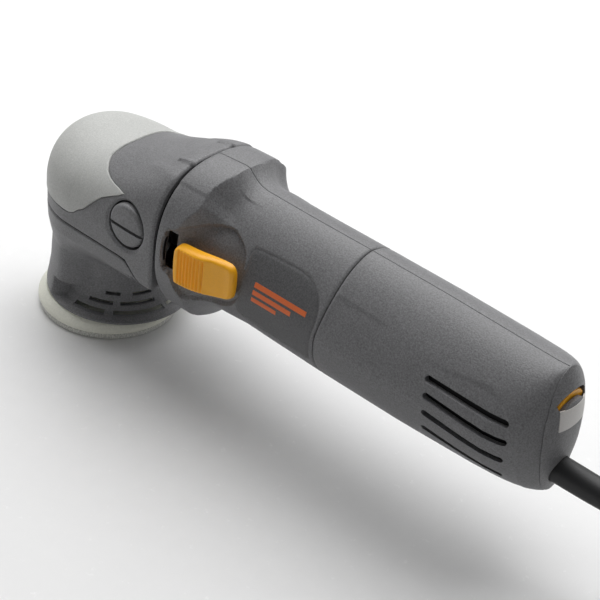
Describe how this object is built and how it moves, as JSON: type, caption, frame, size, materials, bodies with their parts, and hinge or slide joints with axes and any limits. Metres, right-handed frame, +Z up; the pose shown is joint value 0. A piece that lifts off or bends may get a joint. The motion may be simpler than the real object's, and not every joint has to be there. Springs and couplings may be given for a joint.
{
  "type": "dual action polisher",
  "caption": "Compact corded dual action polisher: rounded head over a small backing plate, barrel grip with slide switch, rear speed wheel and coiled mains cord.",
  "frame": {"origin": "on the drive spindle axis, in the plane of the pad face of the backing plate", "axes": "+X along the barrel from the head toward the cord, +Z up away from the pad face, -Y the side of the slide switch"},
  "size_m": [0.5407, 0.11, 0.1196],
  "materials": {
    "housing_grey": "fine-grained moulded dark grey plastic",
    "cap_grey": "light grey soft-touch plastic",
    "black_plastic": "black moulded plastic",
    "cord_rubber": "black rubber",
    "orange_plastic": "satin orange plastic",
    "cream_foam": "cream polyurethane foam",
    "hook_fabric": "hook fastener cloth",
    "steel": "machined steel",
    "cast_alloy": "die-cast alloy",
    "copper": "copper winding and bars",
    "brass": "stamped brass",
    "carbon": "pressed carbon"
  },
  "bodies": {
    "tool": {"bearing_retainer": "cast_alloy", "brush_holder_left": "brass", "brush_holder_right": "brass", "brush_spring_left": "steel", "brush_spring_right": "steel", "carbon_brush_left": "carbon", "carbon_brush_right": "carbon", "cord_clamp": "black_plastic", "cord_coil": "cord_rubber", "cord_guard": "cord_rubber", "cord_run": "cord_rubber", "end_cap": "housing_grey", "end_label": "cap_grey", "fan_baffle": "black_plastic", "field_coil_lower": "copper", "field_coil_upper": "copper", "front_bearing": "steel", "gear_case": "cast_alloy", "handle_plug_left": "housing_grey", "handle_plug_right": "housing_grey", "head_cap": "cap_grey", "head_cover": "housing_grey", "housing_left": "housing_grey", "housing_right": "housing_grey", "plug_body": "cord_rubber", "plug_pin_left": "steel", "plug_pin_right": "steel", "rear_bearing": "steel", "rear_shell_left": "housing_grey", "rear_shell_right": "housing_grey", "shell_screw_1": "steel", "shell_screw_2": "steel", "shell_screw_3": "steel", "shell_screw_4": "steel", "shell_screw_5": "steel", "shroud": "housing_grey", "speed_pot": "black_plastic", "spindle_bearing_lower": "steel", "spindle_bearing_upper": "steel", "stator_core": "steel", "switch_bezel": "black_plastic", "switch_module": "black_plastic"},
    "slider": {"slide_button": "orange_plastic", "slide_rod": "black_plastic"},
    "dial": {"speed_wheel": "orange_plastic"},
    "armature": {"armature_shaft": "steel", "armature_core": "steel", "commutator": "copper", "cooling_fan": "black_plastic", "pinion": "steel"},
    "spindle": {"spindle_shaft": "steel", "bevel_gear": "steel", "eccentric_hub": "steel", "eccentric_bearing": "steel"},
    "plate": {"plate_hub": "steel", "plate_foam": "cream_foam", "hook_disc": "hook_fabric", "plate_screw": "steel"}
  },
  "joints": [
    {"name": "switch_slide", "type": "slide", "parent": "tool", "child": "slider", "axis": [-1, 0, 0], "range_m": [0, 0.008]},
    {"name": "speed_turn", "type": "hinge", "parent": "tool", "child": "dial", "pos_m": [0.267, 0, 0.0875], "axis": [1, 0, 0], "range_deg": [0, 275]},
    {"name": "armature_spin", "type": "hinge", "parent": "tool", "child": "armature", "pos_m": [0.1, 0, 0.076], "axis": [1, 0, 0], "continuous": true},
    {"name": "spindle_spin", "type": "hinge", "parent": "tool", "child": "spindle", "pos_m": [0, 0, 0.05], "axis": [0, 0, 1], "continuous": true},
    {"name": "plate_spin", "type": "hinge", "parent": "spindle", "child": "plate", "pos_m": [-0.0042, -0.0042, 0.01], "axis": [0, 0, 1], "continuous": true}
  ],
  "couplings": [
    {"joint": "spindle_spin", "follows": "armature_spin", "ratio": 0.22222}
  ]
}
